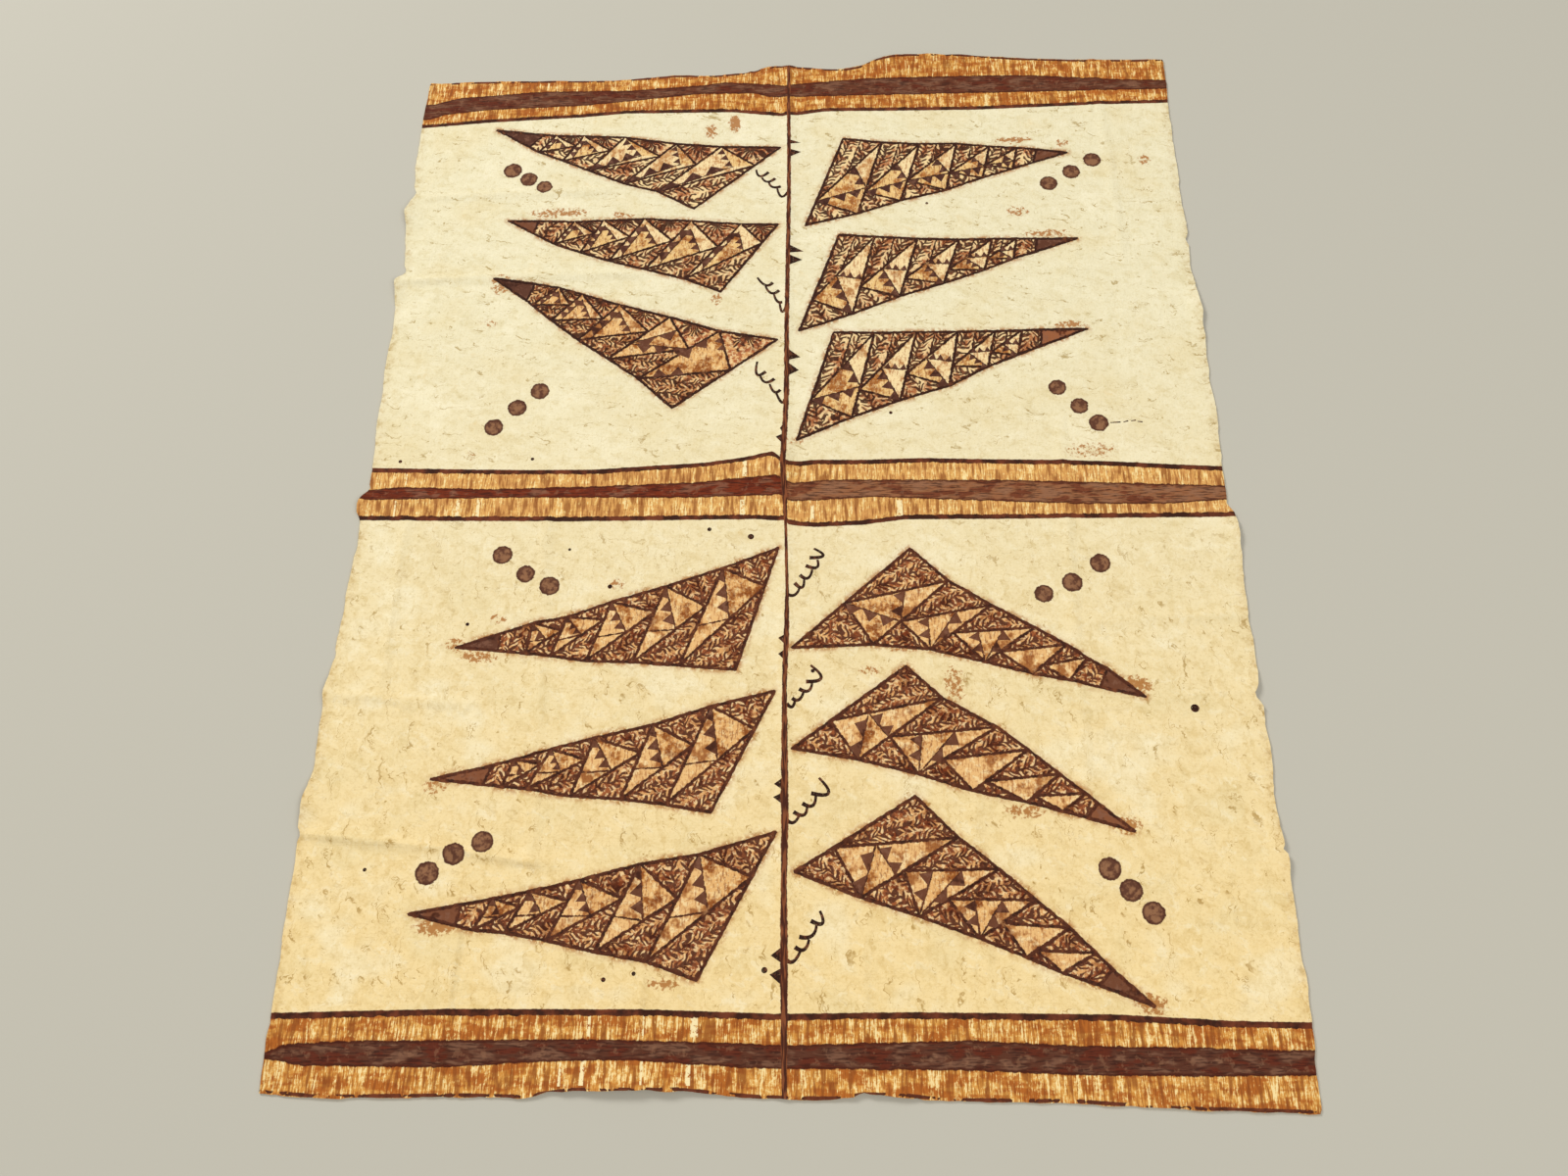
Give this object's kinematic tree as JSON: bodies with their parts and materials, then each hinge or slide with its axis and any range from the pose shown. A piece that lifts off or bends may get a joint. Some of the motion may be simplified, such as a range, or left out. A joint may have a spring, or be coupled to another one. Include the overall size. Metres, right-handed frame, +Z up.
{
  "type": "bark cloth",
  "caption": "Flat painted bark cloth, torn edges, old fold ridges, brown bands and triangles on cream.",
  "frame": {"origin": "centre of the cloth's outline, on the surface it lies on", "axes": "+X across the cloth to the right, +Y along it to the far end, +Z up out of the painted face"},
  "size_m": [1.2316, 1.6338, 0.0114],
  "materials": {
    "bark_cloth": "matt felted bast, hand painted in dark brown and ochre"
  },
  "bodies": {
    "root": {"tapa_cloth": "bark_cloth"}
  },
  "joints": []
}
